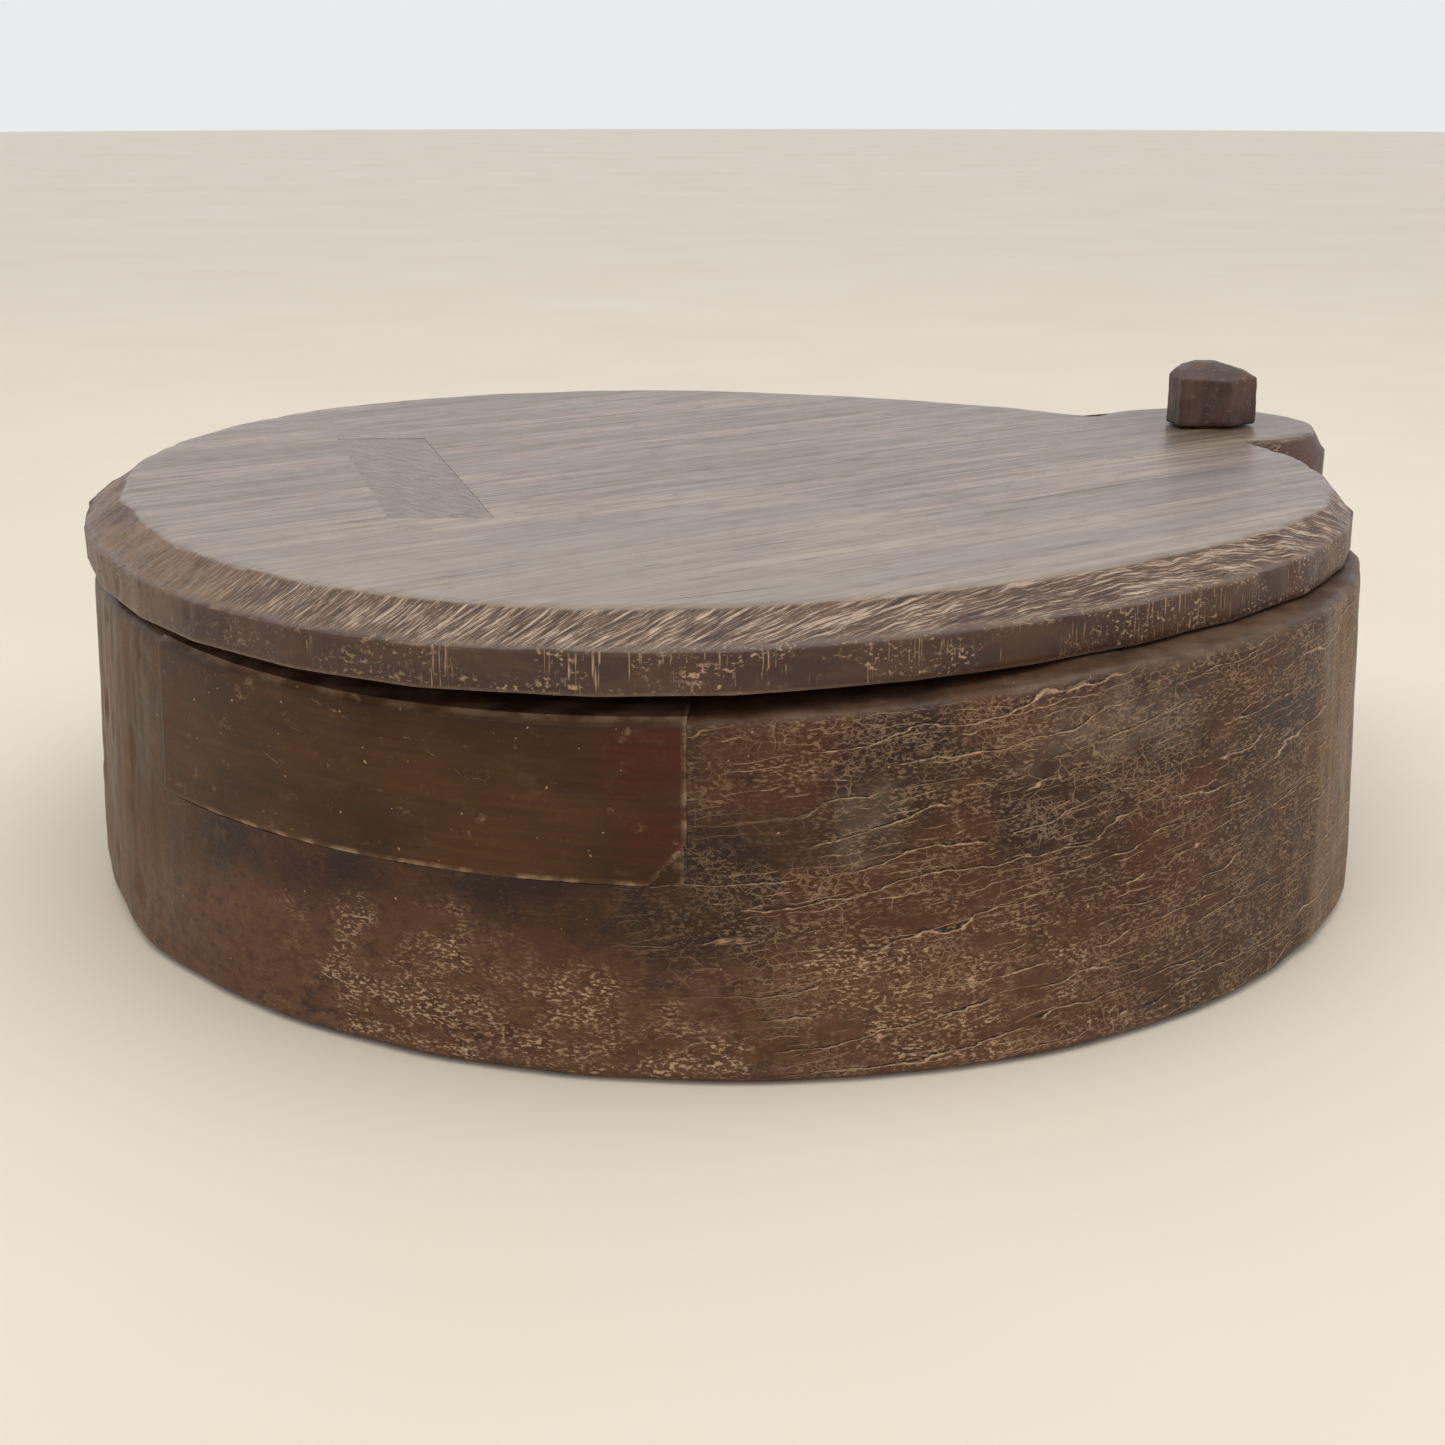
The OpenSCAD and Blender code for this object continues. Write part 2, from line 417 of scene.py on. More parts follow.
def spot(points, middle, wide, high):
    """1 round a place on the wall and 0 away from it, with a ragged edge."""
    off = np.hypot((points[:, 0] - middle[0]) / wide, (points[:, 2] - middle[2]) / high)
    near = np.hypot(points[:, 0] - middle[0], points[:, 1] - middle[1]) < 2.5 * wide
    return step(1.25, 0.35, off + 0.35 * noise(points, 9, 9, 3)) * near


def front_share(turns):
    """1 across the flatter front of the bowl, and 0 beyond its two hewn corners."""
    return step(FRONT_HALF[1], FRONT_HALF[0], np.abs(turn_between(turns, -pi / 2)))


def wall_push(points):
    """How far the wall's broad shape lies inside the true circle."""
    flatter = front_share(polar(points)[0]) * (2.0 - 1.1 * points[:, 2] / RIM_Z)
    return flatter + 0.55 * (0.5 + 0.5 * noise(points, 95, 11))


def bowl_relief(points):
    """Moves the bowl's points in from their true shape: blade cuts, wear, grooves and pits."""
    x, y, z = points.T
    turns, radius = polar(points)
    rim = rim_height(turns)
    outside = step(HOLLOW_R + 8, RIM_R - 8, radius)
    side = step(1.5, 7, z) * outside
    front = front_share(turns)
    left = step(-138, -152, x) * (1 - front)
    cuts = hewn(turns, FOOT_R, radians(-34), radians(11.6), 0.06, 5)
    grooves = np.abs(noise(np.stack([turns * FOOT_R, z * 0.08, z * 0], 1), 5.5, 12, 2))
    pits = step(0.42, 0.9, noise(points, (9, 9, 14), 13))
    chatter = 0.5 + 0.5 * noise(points, (16, 16, 24), 14, 2)
    crust = 0.5 + 0.5 * noise(points, 3.4, 15, 2)
    inward = (
        wall_push(points) + cuts * (0.75 - 0.5 * front) + 0.5 * left * grooves + 0.9 * pits * (0.25 + left)
        + 0.3 * chatter + 0.16 * crust
    )
    foot = step(14, 2, z) * outside * (0.7 + 0.9 * noise(points, (34, 34, 60), 16, 2))
    edge = step(rim - 5, rim - 0.5, z) * step(RIM_R - 6, RIM_R, radius)
    chips = edge * (0.3 + 0.5 * noise(points, (22, 22, 40), 17, 3))
    push = inward * side + np.clip(foot, 0, 2.2) + np.clip(chips, 0, 1.2)
    inside = (1 - outside) * step(6, 14, z)
    tool_marks = noise(np.stack([turns * 120, z * 1.3, radius * 0.4], 1), 13, 18, 2)
    push = push - inside * (0.5 + 0.5 * tool_marks) * step(20, 60, radius)
    scale = np.where(radius > 1, 1 - push / np.maximum(radius, 1), 1)
    hollow_foot = np.where(z < 0.5, 1.3 * step(168, 60, radius) + 0.25 * (1 + noise(points, 24, 19)), 0)
    top = step(rim - 1.2, rim - 0.2, z) * step(HOLLOW_R - 1, HOLLOW_R + 4, radius)
    worn_top = top * 0.3 * (0.6 + noise(points, 30, 20, 2))
    floor = inside * step(150, 135, radius) * (0.35 + 0.45 * noise(points, (26, 15, 26), 21, 2))
    lift = hollow_foot - np.clip(worn_top, 0, 1) + np.clip(floor, 0, 1.2)
    return np.stack([x * scale, y * scale, z + lift], 1)


def corner_cutter(base, ease):
    """The wedge off the patch's lower right corner. ease moves its slope up and to the left."""
    across, up = PATCH_CLIP
    outward, along = axes(PATCH_END)
    left, right, low, high = -1.2 * across - ease, 0.6 * across, -0.2 * up, 1.6 * up + ease
    corners = ((left, low), (right, low), (right, high))
    points = np.array([
        [*(outward * reach + along * s), base + h]
        for reach in (RIM_R - PATCH_T - 6, FOOT_R + BEYOND) for s, h in corners])
    return make_object("cutter", points, [[0, 1, 2], [5, 4, 3], [0, 3, 4, 1], [1, 4, 5, 2], [2, 5, 3, 0]])


def patch_cutter(gap):
    """The repair piece's seat as a solid: a sector grown by a gap, less its clipped lower corner."""
    inner, outer = RIM_R - PATCH_T - gap, FOOT_R + 12
    spread = gap / FOOT_R
    turns = np.linspace(PATCH_START - spread, PATCH_END + spread, 25)
    seat = prism(arc(outer, turns) + arc(inner, turns[::-1]), PATCH_Z - gap, RIM_Z + BEYOND)
    return cut(seat, [corner_cutter(PATCH_Z - gap, 0)])


def lock_cutter(gap):
    """The lock pin's hole, along the line from the bowl's middle through the pivot."""
    radius = LOCK_R + gap
    points = []
    for reach in (LOCK_START, PIVOT_R + LUG_R + BEYOND):
        for t in all_round(40):
            flat = OUTWARD * reach + SIDEWAYS * radius * cos(t)
            points.append([*flat, LOCK_Z + radius * sin(t)])
    return drawn_cutter(points)


def bowl_masks(points):
    """Where the bowl's wood is cracked, crusted, red or hazy, low down or inside, streaked and lighter on
    its flanks, which is partly a painted sheen, and paler along the rim, which is partly wear and partly a
    painted highlight.
    """
    x, y, z = points.T
    turns, radius = polar(points)
    patchy = noise(points, 42, 31, 2)
    fine = noise(points, 17, 32, 2)
    front = step(40, -60, y)
    craze = step(-34, 22, x + 0.35 * (z - 48) + 14 * patchy)
    craze = craze * (1 - 0.75 * spot(points, (8, -188, 64), 20, 10))
    low = step(48, 24, z + 12 * patchy) * step(-188, -160, x) * step(160, 50, x)
    crust = low * step(-140, -90, x) * (0.6 + 0.6 * fine)
    # Flanks: grain streaks and a lighter tone, partly a painted sheen
    flank = np.maximum(step(-128, -188, x + 5 * patchy), step(155, 161, x + 3 * patchy))
    below_rim = rim_height(turns) - z
    outside = step(RIM_R - 14, RIM_R - 7, radius) * step(0.4, 2.5, below_rim)
    # Rim: a paler band, partly wear and partly a painted highlight
    rim = step(3.5, 0.8, below_rim)
    inside = step(HOLLOW_R + 3, HOLLOW_R - 1, radius) * step(FLOOR_T - 4, FLOOR_T - 1, z)
    red = step(0.0, 0.8, noise(points, (38, 38, 26), 33, 2)) * front
    haze = np.maximum(spot(points, (92, -167, 82), 30, 11), spot(points, (32, -186, 64), 9, 15))
    craze = np.where(y > 60, 0.5 + 0.4 * patchy, craze)
    return dict(
        craze=craze * outside, crust=crust * outside, flank=flank * outside, rim=rim, red=red,
        haze=haze, inside=inside, low=low * outside)


def make_bowl(material):
    """The carved body, with the seats of the peg, its pin and the patch."""
    turns = bowl_turns()
    bowl = ring_solid("bowl_carved", *bowl_rings(turns), turns, (0, 0), bowl_relief)
    seat = round_prism(PIVOT, SHANK_R + SHANK_GAP, peg_low[2] - 0.2, RIM_Z + BEYOND)
    cut(bowl, [seat, lock_cutter(SEAT_GAP), patch_cutter(SEAT_GAP)])
    paint(bowl, **bowl_masks(points_of(bowl)))
    finish_piece(bowl, material, "bowl", "bowl")


def make_patch(material):
    """The repair piece: a dense curved block, flush with the wall, with eased edges."""
    columns, rows = 200, 54
    turns = np.linspace(PATCH_START, PATCH_END, columns)
    share = np.linspace(0, 1, rows)[:, None]
    rim = rim_height(turns)
    z = PATCH_Z + share * (rim - PATCH_Z)
    turn_grid = np.broadcast_to(turns, z.shape)
    outer = wall_radius(turn_grid, z)
    skin = np.stack([outer * np.cos(turn_grid), outer * np.sin(turn_grid), z], -1).reshape(-1, 3)
    from_end = np.minimum(turn_grid - PATCH_START, PATCH_END - turn_grid).ravel() * FOOT_R
    from_edge = np.minimum(from_end, (z - PATCH_Z).ravel())
    from_top = (rim - z).ravel()
    ease = 0.28 * step(0.9, 0, from_edge) + 1.9 * step(3.2, 0, from_top) ** 2
    inward = wall_push(skin) + 0.3 * (0.5 + 0.5 * noise(skin, (30, 30, 22), 41, 2)) + ease + 0.1
    skin[:, :2] *= (1 - inward / polar(skin)[1])[:, None]
    back_r = RIM_R - PATCH_T + SEAT_GAP
    back = np.stack([back_r * np.cos(turn_grid), back_r * np.sin(turn_grid), z], -1).reshape(-1, 3)
    piece = slab("wall_patch_inlet", skin, back, rows, columns)
    cut(piece, [corner_cutter(PATCH_Z, 0.4)])
    across, up = PATCH_CLIP
    made = points_of(piece)
    z = made[:, 2]
    turns = polar(made)[0]
    joint = np.minimum(np.minimum(turns - PATCH_START, PATCH_END - turns) * FOOT_R, z - PATCH_Z)
    clipped = (z - PATCH_Z) / up - (turns - PATCH_END) * FOOT_R / across - 1
    dust = step(1.2, 0.3, np.minimum(joint, 7 * clipped)) * step(PATCH_START, PATCH_START + 0.2, turns)
    red = step(-48, -18, made[:, 0]) * (0.7 + 0.5 * noise(made, (24, 24, 12), 42, 2))
    # The rim mask marks a paler band, partly wear and partly a painted highlight
    paint(piece, dust=dust, red=red, rim=step(2.2, 0.5, rim_height(turns) - z))
    finish_piece(piece, material, "bowl", "wall_patch")


# ---- Lid ----

EAR_AT = PIVOT - LID_MID
EAR_DISTANCE = float(np.hypot(*EAR_AT))
EAR_TURN = atan2(EAR_AT[1], EAR_AT[0])


def lid_round(turns):
    """Radius of the lid's hewn round, without its ear."""
    radius = LID_R + sum(
        height * np.cos(count * (turns - radians(crest))) for count, height, crest in LID_WAVES)
    return radius - 0.8 * hewn(turns, LID_R, radians(218), radians(11.25), 0.12, 51)


def bevel_width(turns):
    """Width of the bevel, seen from above: widest in front, and pinched on the right."""
    return BEVEL_W - BEVEL_SKEW * np.sin(turns) - BEVEL_PINCH * np.maximum(np.cos(turns), 0) ** 3


def lid_turns():
    """Directions of the lid's columns, closer together at the notches beside the ear."""
    return EAR_TURN + np.radians(spans((-14.5, -10.5, 10.5, 14.5, 345.5), (34, 56, 34, 640)))


def from_flat(points):
    """Distance of each point outside the lid's flat top, and the bevel's width there."""
    turns, radius = polar(points, LID_MID)
    plan = points * (1, 1, 0)
    ripple = 1.1 * noise(plan, 34, 52, 3) + 0.5 * noise(plan, 8, 60, 2)
    round_off = radius - (lid_round(turns) - bevel_width(turns)) + ripple
    ear_off = polar(points, PIVOT)[1] - EAR_FLAT_R + 0.5 * ripple
    width = np.where(ear_off < round_off, EAR_R - EAR_FLAT_R, bevel_width(turns))
    return np.minimum(round_off, ear_off), width


def grain_points(points):
    """Points turned so that the first axis runs along the grain."""
    c, s = cos(GRAIN_TURN), sin(GRAIN_TURN)
    along = points[:, 0] * c + points[:, 1] * s
    across = points[:, 1] * c - points[:, 0] * s
    return np.stack([along, across, points[:, 2]], 1)


def lid_top_height(points):
    """Height of the lid's top and bevel over each point of its plan."""
    off, width = from_flat(points)
    flat = points * (1, 1, 0)
    fall = BEVEL_DROP * np.clip(off / width, 0, 1.25)
    soft = 0.35 * step(-2.5, 0.5, off)
    grain = grain_points(flat)
    ridges = noise(grain, (60, 2.6, 1), 53, 2)
    sway = 0.35 * (0.5 + 0.5 * noise(flat, 110, 54)) + 0.05 * (1 + noise(grain, (90, 7, 1), 55, 2))
    bevel = step(0, 3, off)
    torn = bevel * (0.22 * (1 + ridges) + 0.35 * (0.5 + 0.5 * noise(flat, 26, 56, 2)))
    return LID_TOP - fall - soft - sway - torn


def lid_rings(turns):
    """Radii and heights of the lid's rings, from the middle of its underside out, up and in again.

    The last value is the number of the first ring of the top, whose heights are set later."""
    outer = np.maximum(lid_round(turns), far_side(turns, EAR_DISTANCE, EAR_TURN, EAR_R))
    flat = np.maximum(
        lid_round(turns) - bevel_width(turns), far_side(turns, EAR_DISTANCE, EAR_TURN, EAR_FLAT_R))
    rings = [(share * (outer - 1.5), LID_Z) for share in np.linspace(0.03, 1, 20) ** 0.8]
    rings += [(outer - 0.45, LID_Z + 0.45), (outer, LID_Z + 1.5)]
    for share in np.linspace(0, 1, 9)[1:]:
        rings.append((outer, LID_Z + 1.5 + share * (ARRIS_Z - LID_Z - 2.3)))
    first_top = len(rings)
    rings += [(outer - inset, LID_TOP) for inset in (0.35, 1.1)]
    for share in np.linspace(0, 1, 8)[1:]:
        rings.append((outer - 1.1 + share * (flat + 2.1 - outer + 1.1), LID_TOP))
    rings += [(flat + inset, LID_TOP) for inset in np.arange(1.7, -2.6, -0.42)]
    rings += [((1 - share) * (flat - 2.5), LID_TOP) for share in (np.linspace(0, 1, 46)[1:-1]) ** 1.15]
    return *stack_rings(rings, turns), first_top


def shape_lid(points, is_top):
    """Sets the top's heights, then roughens the edge and dishes the underside."""
    x, y, z = points.T
    top = lid_top_height(points)
    turns, radius = polar(points, LID_MID)
    rounded = np.where(is_top > 0.5, top, z)
    edge = step(150, 178, radius)
    rough = 0.5 + 0.5 * noise(np.stack([turns * LID_R, z * 0.9, z * 0], 1), (22, 22, 22), 57, 3)
    dents = step(0.3, 0.9, noise(points, (10, 10, 12), 58, 2))
    inward = edge * (0.8 * rough + 0.7 * dents * step(LID_Z, LID_Z + 4, z))
    under = (is_top < 0.5) & (z < LID_Z + 0.1)
    rounded = np.where(under, z + 0.12 * (1 + noise(points * (1, 1, 0), 30, 59, 2)), rounded)
    scale = 1 - inward / np.maximum(radius, 1)
    plan = [LID_MID[0] + (x - LID_MID[0]) * scale, LID_MID[1] + (y - LID_MID[1]) * scale]
    return np.stack([*plan, rounded], 1)


def key_outline(gap):
    """Corners of the let-in key, counter-clockwise from the left front one, grown by a gap."""
    middle = (key_low + key_high)[:2] / 2
    half = (key_high[1] - key_low[1]) / 2
    shift, wide = KEY_LEAN / 2, KEY_W / 2
    corners = [
        (shift - wide - gap, -half - gap), (shift + wide + gap, -half - gap),
        (-shift + wide + gap, half + gap), (-shift - wide - gap, half + gap)]
    return [tuple(middle + c) for c in corners]


def lid_masks(points):
    """Where the lid's wood is bevel, edge, underside, worn arris or the left end of the plank."""
    off, width = from_flat(points)
    bevel = step(-0.2, 0.5, off)
    edge = step(ARRIS_Z + 0.8, ARRIS_Z - 1.2, points[:, 2])
    steep = np.isclose(width, EAR_R - EAR_FLAT_R) * bevel
    edge = np.maximum(edge, steep * step(LID_TOP - 0.6, LID_TOP - 2.4, points[:, 2]))
    under = step(LID_Z + 1.4, LID_Z + 0.4, points[:, 2])
    near_arris = step(2.6, 0.6, ARRIS_Z - points[:, 2])
    worn = 0.6 * step(1.8, 0, np.abs(off)) + step(2.2, 0, np.abs(off - width)) * near_arris
    turns = polar(points, LID_MID)[0]
    ends = step(0.8, 0.93, -np.cos(turns - radians(14)))
    return dict(bevel=bevel * (1 - edge), edge=edge, under=under, worn=worn, ends=ends)


def make_lid(material):
    """The hewn plank, with the peg's bore and the key's pocket."""
    turns = lid_turns()
    radii, heights, first_top = lid_rings(turns)
    columns = len(turns)
    is_top = np.zeros(radii.size + 2)
    is_top[first_top * columns : radii.size] = 1
    is_top[-1] = 1
    lid = ring_solid("lid_plank", radii, heights, turns, LID_MID, lambda points: shape_lid(points, is_top))
    bore = round_prism(PIVOT, SHANK_R + BORE_GAP, LID_Z - 5, LID_TOP + 5)
    pocket = prism(key_outline(KEY_GAP), key_low[2] - SEAT_GAP, LID_TOP + 5)
    cut(lid, [bore, pocket])
    paint(lid, **lid_masks(points_of(lid)))
    finish_piece(lid, material, "lid", "lid")


def make_key(material):
    """The let-in key: a dense leaning slab, flush with the lid, with eased edges."""
    corners = np.array(key_outline(0))
    columns, rows = 40, 150
    u, v = np.meshgrid(np.linspace(0, 1, columns), np.linspace(0, 1, rows))
    low = corners[0] + (corners[1] - corners[0]) * u[..., None]
    high = corners[3] + (corners[2] - corners[3]) * u[..., None]
    plan = (low + (high - low) * v[..., None]).reshape(-1, 2)
    flat = np.hstack([plan, np.zeros((len(plan), 1))])
    u, v = u.ravel(), v.ravel()
    length = key_high[1] - key_low[1]
    from_edge = np.minimum(np.minimum(u, 1 - u) * KEY_W, np.minimum(v, 1 - v) * length)
    mottle = 0.04 * noise(flat, (3, 7, 1), 61, 2)
    skin_z = lid_top_height(flat) - 0.06 * step(0.7, 0, from_edge) ** 2 - 0.05 + mottle
    skin = np.hstack([plan, np.minimum(skin_z, LID_TOP)[:, None]])
    back = np.hstack([plan, np.full((len(plan), 1), key_low[2])])
    piece = slab("lid_key_inlet", skin, back, rows, columns)
    finish_piece(piece, material, "lid", "lid_key")


# ---- Peg and lock pin ----


def hull_object(name, points):
    """The smallest convex solid round the points, in millimetres."""
    shell = bmesh.new()
    for p in points:
        shell.verts.new(np.array(p) * MM)
    made = bmesh.ops.convex_hull(shell, input=shell.verts)
    loose = [v for v in made["geom_interior"] if isinstance(v, bmesh.types.BMVert)]
    bmesh.ops.delete(shell, geom=loose, context="VERTS")
    bmesh.ops.dissolve_limit(shell, angle_limit=0.02, verts=shell.verts, edges=shell.edges)
    mesh = bpy.data.meshes.new(name)
    shell.to_mesh(mesh)
    shell.free()
    return add_to_scene(name, mesh)


def remesh(piece, voxel, bevel):
    """Eases the piece's edges, then gives it an even, dense skin."""
    ease = piece.modifiers.new("ease", "BEVEL")
    ease.width = bevel * MM
    ease.segments = 3
    ease.limit_method = "ANGLE"
    skin = piece.modifiers.new("skin", "REMESH")
    skin.mode = "VOXEL"
    skin.voxel_size = voxel * MM
    smooth = piece.modifiers.new("smooth", "SMOOTH")
    smooth.factor = 0.5
    smooth.iterations = 2
    apply_modifiers(piece)


def make_peg(material):
    """A round shank under a hewn head with a crowned top."""
    outline = np.array(HEAD_OUTLINE, float)
    shoulder = HEAD_TOP - CROWN_H
    # Height, size as a share of the outline, and share of the crown's lean
    rings = ((HEAD_Z, 0.99, 0), (HEAD_Z + 1.5, 1.0, 0), (shoulder, 0.985, 0),
             (shoulder + 0.62 * CROWN_H, 0.72, 1), (HEAD_TOP, 0.28, 1))
    points = []
    for height, size, lean in rings:
        for i, corner in enumerate(outline):
            lift = 0.5 * sin(2.3 * i + 1) + 0.09 * abs(corner[0]) if height == shoulder else 0
            at = PIVOT + corner * size + (CROWN_LEAN * lean, 0)
            points.append((*at, height + lift))
    head = hull_object("pivot_peg_hewn", points)
    remesh(head, 0.42, 0.4)
    made = points_of(head)
    away = made - np.array([*PIVOT, (HEAD_Z + HEAD_TOP) / 2])
    away /= np.linalg.norm(away, axis=1)[:, None]
    grain = noise(made, (2.2, 2.2, 26), 71, 2)
    dents = noise(made, 7, 72, 2)
    move_points(head, made - away * (0.12 * (1 + grain) + 0.22 * (1 + dents))[:, None])
    shank = round_prism(PIVOT, SHANK_R - 0.02, peg_low[2], HEAD_Z + 4)
    cut(head, [shank], "UNION")
    cut(head, [lock_cutter(SEAT_GAP / 2)])
    finish_piece(head, material, "bowl", "pivot_peg", 40)


def make_lock_pin(material):
    """A whittled round pin, with a domed outer end."""
    count = 64
    turns = all_round(count)
    dome = LOCK_END - np.array([1.0, 0.55, 0.25, 0.08])
    reach = np.concatenate([np.linspace(LOCK_START, LOCK_END - 1.6, 70), dome])
    size = np.concatenate([np.ones(70), [0.97, 0.88, 0.7, 0.4]]) * (LOCK_R - 0.03)
    rows = []
    for r, s in zip(reach, size):
        wobble = 1 - 0.02 * (1 + np.sin(3 * turns + 0.4)) * (r > PIVOT_R + LUG_R - 2)
        flat = OUTWARD * r + np.outer(s * wobble * np.cos(turns), SIDEWAYS)
        rows.append(np.column_stack([flat, LOCK_Z + s * wobble * np.sin(turns)]))
    ends = [[*(OUTWARD * r), LOCK_Z] for r in (LOCK_START, LOCK_END)]
    points = np.vstack([*rows, ends])
    faces = ring_faces(len(rows), count, len(points) - 2, len(points) - 1)
    piece = make_object("lock_pin_whittled", points, faces)
    finish_piece(piece, material, "bowl", "lock_pin", 40)


# ---- Materials ----


def srgb(r, g, b):
    """A colour given as 0-255 display values, as linear light with alpha."""
    return (*[((c / 255 + 0.055) / 1.055) ** 2.4 if c > 10 else c / 255 / 12.92 for c in (r, g, b)], 1)


class Shader:
    """A material's nodes. A value may be a number, a colour or another node's output."""

    def __init__(self, name):
        self.material = bpy.data.materials.new(name)
        self.material.use_nodes = True
        self.tree = self.material.node_tree
        self.surface = self.tree.nodes["Principled BSDF"]
        self.place = self.node("TexCoord").outputs["Object"]

    def node(self, kind, inputs=None, **settings):
        made = self.tree.nodes.new("ShaderNode" + kind)
        for key, value in settings.items():
            setattr(made, key, value)
        for key, value in (inputs or {}).items():
            self.feed(made.inputs[key], value)
        return made

    def feed(self, socket, value):
        if isinstance(value, bpy.types.NodeSocket):
            self.tree.links.new(value, socket)
        else:
            socket.default_value = value

    def mask(self, name):
        return self.node("Attribute", attribute_name=name).outputs["Fac"]

    def math(self, operation, a, b=0.0, c=0.0):
        return self.node("Math", {0: a, 1: b, 2: c}, operation=operation).outputs[0]

    def fold(self, operation, first, *others):
        for value in others:
            first = self.math(operation, first, value)
        return first

    def add(self, *terms):
        return self.fold("ADD", *terms)

    def sub(self, a, b):
        return self.math("SUBTRACT", a, b)

    def mul(self, *factors):
        return self.fold("MULTIPLY", *factors)

    def most(self, *values):
        return self.fold("MAXIMUM", *values)

    def stretch(self, size, turn=0.0, place=None):
        """The place, scaled so that one unit is size millimetres along each axis of the turned frame."""
        turned = self.node("Mapping", {"Vector": place or self.place, "Rotation": (0, 0, -turn)})
        scale = tuple(1 / (s * MM) for s in size)
        return self.node("Mapping", {"Vector": turned.outputs[0], "Scale": scale}).outputs[0]

    def noise(self, size, turn=0.0, detail=3.0, rough=0.55):
        """Soft blotches of about that many millimetres along each axis, from 0 to 1."""
        settings = {"Vector": self.stretch(size, turn), "Scale": 1.0, "Detail": detail, "Roughness": rough}
        return self.node("TexNoise", settings).outputs["Fac"]

    def ramp(self, value, low, high, start=0.0, end=1.0):
        """value carried from low..high to start..end, smoothly and clipped."""
        made = self.node("MapRange", {"Value": value, "From Min": low, "From Max": high,
                                      "To Min": start, "To Max": end}, interpolation_type="SMOOTHSTEP")
        return made.outputs["Result"]

    def mix(self, share, a, b):
        """Colour a where share is 0, and b where it is 1. A colour may be three display values."""
        made = self.node("Mix", data_type="RGBA")
        for socket, value in ((0, share), (6, a), (7, b)):
            self.feed(made.inputs[socket], srgb(*value) if isinstance(value, tuple) else value)
        return made.outputs[2]

    def axis(self, name):
        return self.node("SeparateXYZ", {"Vector": self.place}).outputs[name]

    def vector(self, operation, inputs):
        return self.node("VectorMath", inputs, operation=operation).outputs[0]

    def bands(self, spacing, lean, size, sway, width, rise=0.0):
        """Thin wavy lines, spacing millimetres apart in height, which climb by lean to the right."""
        part = self.node("SeparateXYZ", {"Vector": self.place})
        drift = self.noise(size, detail=6.0, rough=0.5)
        height = self.math("MULTIPLY_ADD", part.outputs["X"], -lean, part.outputs["Z"])
        phase = self.math("MULTIPLY_ADD", height, 1 / (spacing * MM), self.mul(drift, sway / spacing))
        phase = self.add(phase, -rise / spacing)
        return self.ramp(self.math("PINGPONG", phase, 0.5), 0.0, width / spacing, 1.0, 0.0)

    def cells(self, size, warp, width, warp_size):
        """A net of thin lines round cells of about that size, pushed about by up to warp millimetres."""
        at = self.stretch((warp_size,) * 3)
        push = self.node("TexNoise", {"Vector": at, "Scale": 1.0, "Detail": 2.0})
        push = self.vector("SUBTRACT", {0: push.outputs["Color"], 1: (0.5, 0.5, 0.5)})
        push = self.vector("SCALE", {0: push, "Scale": warp * MM * 2})
        at = self.stretch(size, place=self.vector("ADD", {0: self.place, 1: push}))
        net = self.node("TexVoronoi", {"Vector": at, "Scale": 1.0}, feature="DISTANCE_TO_EDGE")
        return self.ramp(net.outputs["Distance"], 0.0, width, 1.0, 0.0)

    def flecks(self, size, low, high, turn=0.0, detail=2.0):
        """Blotches cut down to spots: 0 below low and 1 above high."""
        return self.ramp(self.noise(size, turn, detail), low, high)

    def blend(self, value, low, high, a, b):
        """Colour a where value is below low, and b where it is above high."""
        return self.mix(self.ramp(value, low, high), a, b)

    def tint(self, below, value, low, high, most, colour):
        """The colour below, with up to most of another one where value goes from low to high."""
        return self.mix(self.ramp(value, low, high, 0, most), below, colour)

    def finish(self, colour, roughness, height, depth, coat=0.0, shine=0.5):
        """Wires the surface. height is 0 to 1 and depth is how tall it is, in millimetres."""
        bump = self.node("Bump", {"Height": height, "Distance": depth * MM, "Strength": 1.0})
        settings = {
            "Base Color": colour, "Roughness": roughness, "Normal": bump.outputs[0], "IOR": 1.48,
            "Specular IOR Level": shine, "Coat Weight": coat, "Coat Roughness": 0.3}
        for name, value in settings.items():
            self.feed(self.surface.inputs[name], value)
        return self.material


# Colours, as 0-255 display values
DARK = (44, 27, 19)
UMBER = (76, 46, 26)
RED = (80, 40, 26)
OLIVE = (64, 44, 20)
DUST = (200, 166, 130)


